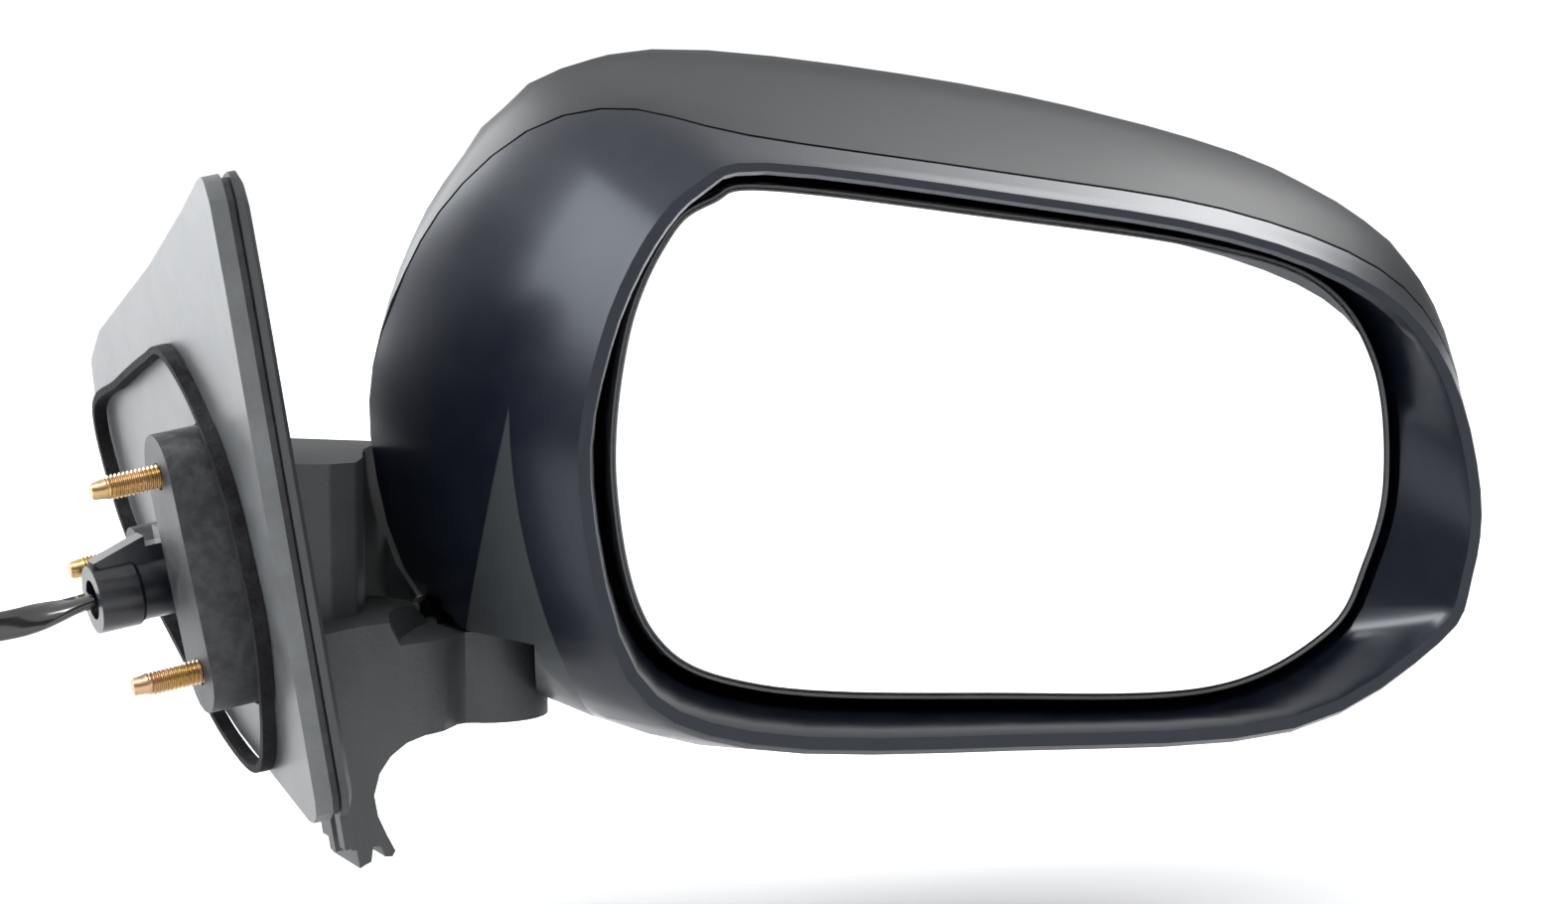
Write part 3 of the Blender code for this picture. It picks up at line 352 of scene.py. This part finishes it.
finishes = {
    "shell_plastic": {
        "color": (0.0028, 0.0036, 0.0085), "roughness": 0.31, "peel": 0.5, "bump": 0.03, "coat": 0.2,
        "coatRoughness": 0.2, "dust": 0.015, "drift": 0.03, "specular": 0.3, "tint": (0.8, 0.88, 1.0),
        # the shell carries the painted facet highlight
        "facetPaintedLight": True,
    },
    "cap_plastic": {
        "color": (0.013, 0.0142, 0.0155), "roughness": 0.42, "peel": 0.8, "bump": 0.03, "drift": 0.03,
        "dust": 0.04, "dustColor": (0.12, 0.13, 0.13), "specular": 0.24,
    },
    "textured_plastic": {
        "color": (0.028, 0.031, 0.033), "roughness": 0.5, "grain": 1.0, "grainScale": 1500.0, "bump": 0.4,
        "bumpDistance": 0.00015, "drift": 0.05, "dust": 0.08, "dustColor": (0.18, 0.18, 0.18),
    },
    "sail_plastic": {
        "color": (0.07, 0.075, 0.078), "roughness": 0.34, "drift": 0.1, "mottleScale": 60.0, "peel": 1.0,
        "bump": 0.1, "dust": 0.2, "dustColor": (0.36, 0.37, 0.38), "specular": 0.6,
    },
    "cast_base": {
        "color": (0.022, 0.023, 0.026), "roughness": 0.5, "grain": 0.7, "grainScale": 900.0, "bump": 0.3,
        "dust": 0.35, "dustColor": (0.2, 0.2, 0.19), "dustScale": 220.0,
    },
    "edge_rubber": {
        "color": (0.006, 0.006, 0.007), "roughness": 0.55, "dust": 0.15, "grain": 0.4, "bump": 0.2,
    },
    "seal_foam": {
        "color": (0.005, 0.005, 0.006), "roughness": 0.85, "grain": 1.0, "grainScale": 1400.0, "bump": 0.7,
        "bumpDistance": 0.0003, "dust": 0.1, "specular": 0.2,
    },
    "white_nylon": {"color": (0.62, 0.61, 0.57), "roughness": 0.45, "peel": 0.6, "bump": 0.1},
    "black_nylon": {
        "color": (0.005, 0.0058, 0.010), "roughness": 0.3, "peel": 0.6, "bump": 0.06, "dust": 0.08,
    },
    "harness_sleeve": {
        "color": (0.004, 0.004, 0.005), "roughness": 0.2, "peel": 1.0, "bump": 0.08, "coat": 0.5,
        "coatRoughness": 0.12, "dust": 0.04,
    },
    "carrierGrey": {
        "color": (0.05, 0.052, 0.056), "roughness": 0.38, "peel": 0.6, "bump": 0.05, "dust": 0.1,
        "drift": 0.05,
    },
}
metals = {
    "zinc_yellow": {
        "color": (0.40, 0.27, 0.10), "second": (0.46, 0.29, 0.18), "roughness": 0.27, "film": 160.0,
    },
    "bright_steel": {
        "color": (0.56, 0.57, 0.58), "second": (0.42, 0.42, 0.43), "roughness": 0.3, "film": 60.0,
    },
}


def metalFinish(name, look):
    # plated metal: two film colours drift into each other, with fine wear in the gloss
    finish = bpy.data.materials.new(name)
    finish.use_nodes = True
    tree = finish.node_tree
    shader = tree.nodes["Principled BSDF"]
    place = addNode(tree, "TexCoord")
    film = addNode(tree, "TexNoise", {"Vector": place.outputs["Object"], "Scale": look["film"],
                                      "Detail": 3.0})
    wide = addNode(tree, "MapRange", {"Value": film.outputs["Fac"], "From Min": 0.35, "From Max": 0.65})
    color = mixColor(tree, wide.outputs[0], (*look["color"], 1), (*look["second"], 1))
    wear = addNode(tree, "TexNoise", {"Vector": place.outputs["Object"], "Scale": 900.0, "Detail": 3.0})
    rough = addNode(tree, "MapRange", {"Value": wear.outputs["Fac"], "To Min": look["roughness"] * 0.7,
                                       "To Max": look["roughness"] * 1.5})
    tree.links.new(color, shader.inputs["Base Color"])
    tree.links.new(rough.outputs[0], shader.inputs["Roughness"])
    shader.inputs["Metallic"].default_value = 1.0
    return finish


def mirrorFinish():
    # first-surface look of silvered glass with the faintest film on it
    finish = bpy.data.materials.new("mirror_silver")
    finish.use_nodes = True
    tree = finish.node_tree
    shader = tree.nodes["Principled BSDF"]
    place = addNode(tree, "TexCoord")
    film = addNode(tree, "TexNoise", {"Vector": place.outputs["Object"], "Scale": 18.0, "Detail": 4.0})
    rough = addNode(tree, "MapRange", {"Value": film.outputs["Fac"], "To Min": 0.015, "To Max": 0.05})
    tree.links.new(rough.outputs[0], shader.inputs["Roughness"])
    shader.inputs["Base Color"].default_value = (0.93, 0.945, 0.95, 1)
    shader.inputs["Metallic"].default_value = 1.0
    return finish


paints = {name: plasticFinish(name, look) for name, look in finishes.items()}
paints.update({name: metalFinish(name, look) for name, look in metals.items()})
paints["mirror_silver"] = mirrorFinish()
slots = {part["node"]: part["material_slot"] for part in frame["record"]["subparts"]}


def smoothNode(node, angle=30):
    node.data.polygons.foreach_set("use_smooth", [True] * len(node.data.polygons))
    weld = node.modifiers.new("weld", "WELD")
    weld.merge_threshold = 0.00002
    split = node.modifiers.new("sharpEdges", "EDGE_SPLIT")
    split.split_angle = math.radians(angle)
    weighted = node.modifiers.new("weighted", "WEIGHTED_NORMAL")
    weighted.keep_sharp = False


for name, node in nodes.items():
    node.data.materials.clear()
    node.data.materials.append(paints[slots[name]])
    smoothNode(node)
print("finishes on", len(nodes), "nodes")


# turns a bmesh into a smooth object that keeps its hard edges
def makePiece(name, bm, paint, body, angle):
    bmesh.ops.recalc_face_normals(bm, faces=bm.faces)
    data = bpy.data.meshes.new(name)
    bm.to_mesh(data)
    bm.free()
    data.polygons.foreach_set("use_smooth", [True] * len(data.polygons))
    data.set_sharp_from_angle(angle=math.radians(angle))
    data.materials.append(paints[paint])
    piece = placeObject(name, data)
    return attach(piece, body)


def joinRows(bm, rows, closed=False):
    # walls between neighbouring rows of vertices, each row a closed loop
    pairs = list(zip(rows, rows[1:])) + ([(rows[-1], rows[0])] if closed else [])
    for a, b in pairs:
        for k in range(len(a)):
            bm.faces.new((a[k - 1], a[k], b[k], b[k - 1]))


def capEnds(bm, rows):
    bm.faces.new(rows[0])
    bm.faces.new(list(reversed(rows[-1])))


def smoothStep(value):
    value = min(1.0, max(0.0, value))
    return value * value * (3 - 2 * value)


def spline(a, b, c, d, u):
    # Catmull-Rom between b and c
    bend, swing = 2 * a - 5 * b + 4 * c - d, 3 * b - a - 3 * c + d
    return 0.5 * (2 * b + (c - a) * u + bend * u ** 2 + swing * u ** 3)


def openCurve(points, t):
    # t counts points
    i = max(0, min(len(points) - 2, int(t)))
    return spline(*(points[max(0, min(len(points) - 1, k))] for k in (i - 1, i, i + 1, i + 2)), t - i)


def loopPoint(anchors, s):
    # a point of a closed curve and the way outward from it; s counts anchors
    i = math.floor(s)
    u = s - i
    a, b, c, d = (Vector(anchors[(i + k) % len(anchors)]) for k in (-1, 0, 1, 2))
    bend, swing = 2 * a - 5 * b + 4 * c - d, 3 * b - a - 3 * c + d
    along = (c - a + 2 * bend * u + 3 * swing * u * u).normalized()
    return spline(a, b, c, d, u), Vector((-along.y, along.x))


# the wiring lead: a flat sleeve that twists on its way to the tied coil
lead = {
    "route": (
        (-15.3, 12.0, -7.5), (-19.0, 12.0, -8.4), (-25.0, 12.0, -9.9), (-32.0, 12.0, -11.5),
        (-38.0, 12.3, -12.4), (-44.0, 13.0, -13.3), (-50.0, 15.0, -14.2), (-55.5, 18.6, -15.2),
        (-59.6, 24.0, -16.6), (-61.8, 30.0, -18.6),
    ),
    "routeSteps": 3,
    "width": 7.0,
    "thickness": 3.4,
    "twist": (-16.0, 22.0),  # x where the quarter turn starts, and the length it takes
    "coilCentre": (-66.0, 14.0, -52.0),
    "coilRadius": 37.6,
    "coilSteps": 36,  # per turn
    "sides": (-62.4, -69.5),  # x of the first and the second turn
    "cross": (0.35, 0.6),  # turns before it crosses to the second side, and turns that takes
    "turns": 1.18,
    "plug": (-66.0, -10.5, -60.5),  # where it enters the connector
    "plugSteps": 14,
    "around": 20,
}


def leadRoute():
    # the listed run, and the sleeve's wide side at each point: level at the collar, then upright
    route = [Vector(p) for p in lead["route"]]
    steps = lead["routeSteps"]
    points = [openCurve(route, k / steps) for k in range(steps * (len(route) - 1) + 1)]
    begin, span = lead["twist"]
    turns = [smoothStep((begin - point.x) / span) * math.pi / 2 for point in points]
    return points, [Vector((0, math.cos(turn), math.sin(turn))) for turn in turns]


def addTurns(points, wide):
    centre = Vector(lead["coilCentre"])
    last = points[-1] - centre
    first, count = math.atan2(last.z, last.y), int(lead["coilSteps"] * lead["turns"])
    near, far = lead["sides"]
    wait, span = lead["cross"]
    for k in range(1, count + 1):
        u = k / count
        angle = first - 2 * math.pi * lead["turns"] * u
        x = near + (far - near) * smoothStep((u * lead["turns"] - wait) / span)
        radius = lead["coilRadius"] + (last.yz.length - lead["coilRadius"]) * max(0.0, 1 - u * 8)
        points.append(Vector((x, centre.y + radius * math.cos(angle), centre.z + radius * math.sin(angle))))
        lay = min(1.0, u * 7)  # the sleeve settles flat on the coil
        wide.append(Vector((lay, 0, 1 - lay)))


def addPlugRun(points, wide):
    start, end = points[-1], Vector(lead["plug"])
    heading = (points[-1] - points[-2]).normalized()
    reach = (end - start).length
    a, b = start + heading * reach * 0.4, end - Vector((0, 0, 1)) * reach * 0.42
    for k in range(1, lead["plugSteps"] + 1):
        u = k / lead["plugSteps"]
        v = 1 - u
        points.append(start * v ** 3 + a * 3 * u * v ** 2 + b * 3 * u * u * v + end * u ** 3)
        wide.append(Vector((1, 0, 0)))


def sleeveRing(bm, point, across, through):
    # a rounded flat section, slightly pinched between its wires
    ring = []
    for step in range(lead["around"]):
        a = 2 * math.pi * step / lead["around"]
        c, s = math.cos(a), math.sin(a)
        u = math.copysign(abs(c) ** 0.7, c) * lead["width"] / 2
        pinch = 1 - 0.12 * math.cos(3 * math.pi * c)
        v = math.copysign(abs(s) ** 0.8, s) * pinch * lead["thickness"] / 2
        ring.append(bm.verts.new(point + (across * u + through * v) * mm))
    return ring


def addLead():
    points, wide = leadRoute()
    addTurns(points, wide)
    addPlugRun(points, wide)
    points = [p * mm + seat for p in points]
    bm = bmesh.new()
    rings = []
    for k, point in enumerate(points):
        along = (points[min(k + 1, len(points) - 1)] - points[max(k - 1, 0)]).normalized()
        across = (wide[k] - along * wide[k].dot(along)).normalized()
        rings.append(sleeveRing(bm, point, across, along.cross(across)))
    joinRows(bm, rings)
    capEnds(bm, rings)
    piece = makePiece("wiringLead", bm, "harness_sleeve", "base", 60)
    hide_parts("harness", "harness_coil")


addLead()


# threaded studs in place of the plain ones
thread = {
    "places": {"stud_upper": (-6, 24), "stud_lower": (-13, -22), "stud_front": (27, 0)},
    "radius": 3.0,
    "runOut": 2.4,  # radius where the thread fades in
    "depth": 0.55,
    "crest": 1.25,
    "pitch": 1.0,
    "tip": -16.5,
    "root": 9.0,
    "dogPoint": ((0.0, 1.75), (0.5, 2.15), (2.3, 2.2), (2.9, 2.35)),  # from the tip, radius
    "start": 3.2,  # where the thread starts, from the tip
    "steps": 12,
    "around": 24,
}


def threadRow(share):
    # one turn of vertices a share of the way up the thread
    start = thread["tip"] + thread["start"]
    x = start + (thread["root"] - start) * share
    fade = min(1.0, max(0.0, (x - start) / 1.2))
    row = []
    for j in range(thread["around"]):
        ridge = abs(((x - start) / thread["pitch"] + j / thread["around"]) % 1 * 2 - 1)
        crest = thread["runOut"] + (thread["radius"] - thread["runOut"]) * fade
        row.append((x, crest - thread["depth"] * fade * min(1, thread["crest"] * ridge)))
    return row


def addStud(name, place):
    count = int((thread["root"] - thread["tip"] - thread["start"]) / thread["pitch"] * thread["steps"])
    rows = [[(thread["tip"] + x, radius)] * thread["around"] for x, radius in thread["dogPoint"]]
    rows += [threadRow(k / count) for k in range(count + 1)]
    bm = bmesh.new()
    rings = []
    for row in rows:
        ring = []
        for j, (x, radius) in enumerate(row):
            a = 2 * math.pi * j / thread["around"]
            point = Vector((x, place[0] + radius * math.cos(a), place[1] + radius * math.sin(a)))
            ring.append(bm.verts.new(doorTurn @ (point * mm)))
        rings.append(ring)
    joinRows(bm, rings)
    capEnds(bm, rings)
    piece = makePiece(name + "_threaded", bm, "zinc_yellow", "base", 50)
    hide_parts(name)


for studName, studPlace in thread["places"].items():
    addStud(studName, studPlace)
print("studs threaded")


# the convex glass with its ground edge, and the carrier's lip round it
glass = {
    "outline": (
        (-99.5, -6), (-96, 30), (-85, 53), (-74, 60.5), (-60, 63), (-2, 54.5), (54, 45), (87, 34),
        (103, 13), (106.5, -16), (101, -37), (90, -54), (58, -66), (0, -63.5), (-62, -57), (-90, -42),
    ),
    "bow": 3.6,
    "thickness": 2.3,
    "bevel": 0.6,
    "inset": 1.3,  # inside the carrier's lip
    "lip": (  # outward, depth
        (-1.1, 2.2), (-1.0, 0.2), (-0.7, -0.25), (-0.3, -0.2), (-0.1, 0.4), (-0.1, 2.2), (-0.5, 2.5),
        (-0.8, 2.5),
    ),
    "around": 192,
    "rings": 16,
}


def glassEdge(out):
    # the outline moved outward by a distance
    count = len(glass["outline"]) / glass["around"]
    edge = (loopPoint(glass["outline"], k * count) for k in range(glass["around"]))
    return [point + outward * out for point, outward in edge]


def bandRow(bm, outline, depth):
    return [bm.verts.new(glassCentre + Vector((p.x, depth, p.y)) * mm) for p in outline]


def addGlass():
    bm = bmesh.new()
    edge, face = glassEdge(-glass["inset"]), glassEdge(-glass["inset"] - glass["bevel"] * 0.8)
    rows = [bandRow(bm, edge, glass["thickness"]), bandRow(bm, edge, glass["bevel"])]
    for ring in range(glass["rings"]):
        share = 1 - ring / glass["rings"]
        rows.append(bandRow(bm, [p * share for p in face], -glass["bow"] * (1 - share ** 2)))
    joinRows(bm, rows)
    middle = bm.verts.new(glassCentre + Vector((0, -glass["bow"], 0)) * mm)
    for k in range(glass["around"]):
        bm.faces.new((rows[-1][k - 1], rows[-1][k], middle))
    bm.faces.new(rows[0])
    piece = makePiece("convexGlass", bm, "mirror_silver", "glass", 30)
    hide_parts("mirror_glass")


def addLip():
    bm = bmesh.new()
    joinRows(bm, [bandRow(bm, glassEdge(out), depth) for out, depth in glass["lip"]], closed=True)
    makePiece("carrierLip", bm, "carrierGrey", "glass", 40)


addGlass()
addLip()
print("glass and carrier lip done")


# the thin foam loop on the door side of the back plate
gasket = {
    "line": (
        (6, 50.5), (21, 47.5), (50, 38), (76, 28), (70.5, 5), (53, -14), (34.5, -26.5), (6, -43.5),
        (-20, -45.5), (-33.5, -16), (-32, 6), (-26, 24.5), (-12, 41),
    ),
    "section": ((8.4, -0.9), (8.4, 0.9), (10.6, 1.0), (11.7, 0.95), (11.7, -0.95), (10.6, -1.0)),
    "around": 156,
}


def addGasket():
    bm = bmesh.new()
    rows = []
    for k in range(gasket["around"]):
        point, outward = loopPoint(gasket["line"], len(gasket["line"]) * k / gasket["around"])
        places = [(height, point + outward * side) for height, side in gasket["section"]]
        rows.append([bm.verts.new(doorTurn @ (Vector((height, p.x, p.y)) * mm)) for height, p in places])
    joinRows(bm, rows, closed=True)
    piece = makePiece("foamLoop", bm, "seal_foam", "base", 40)
    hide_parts("door_gasket")


# a low curved wall behind the foot, which closes the view under the head's cheek
baffle = {
    "inner": 15.6, "outer": 17.6,
    "from": 95, "to": 165,  # degrees round the fold axis
    "low": -17.0, "high": -10.6,
    "edge": 0.5,
    "steps": 16,
}


def addBaffle():
    inner, outer, low, high, edge = (baffle[key] for key in ("inner", "outer", "low", "high", "edge"))
    section = ((inner, low), (outer, low), (outer, high - edge), (outer - edge, high),
               (inner + edge, high), (inner, high - edge))
    bm = bmesh.new()
    rows = []
    for k in range(baffle["steps"] + 1):
        a = math.radians(baffle["from"] + (baffle["to"] - baffle["from"]) * k / baffle["steps"])
        places = [Vector((radius * math.cos(a), radius * math.sin(a), height)) for radius, height in section]
        rows.append([bm.verts.new(foldAxis + place * mm) for place in places])
    joinRows(bm, rows)
    capEnds(bm, rows)
    makePiece("footBaffle", bm, "textured_plastic", "base", 30)


addGasket()
addBaffle()
print("foam loop and baffle done")
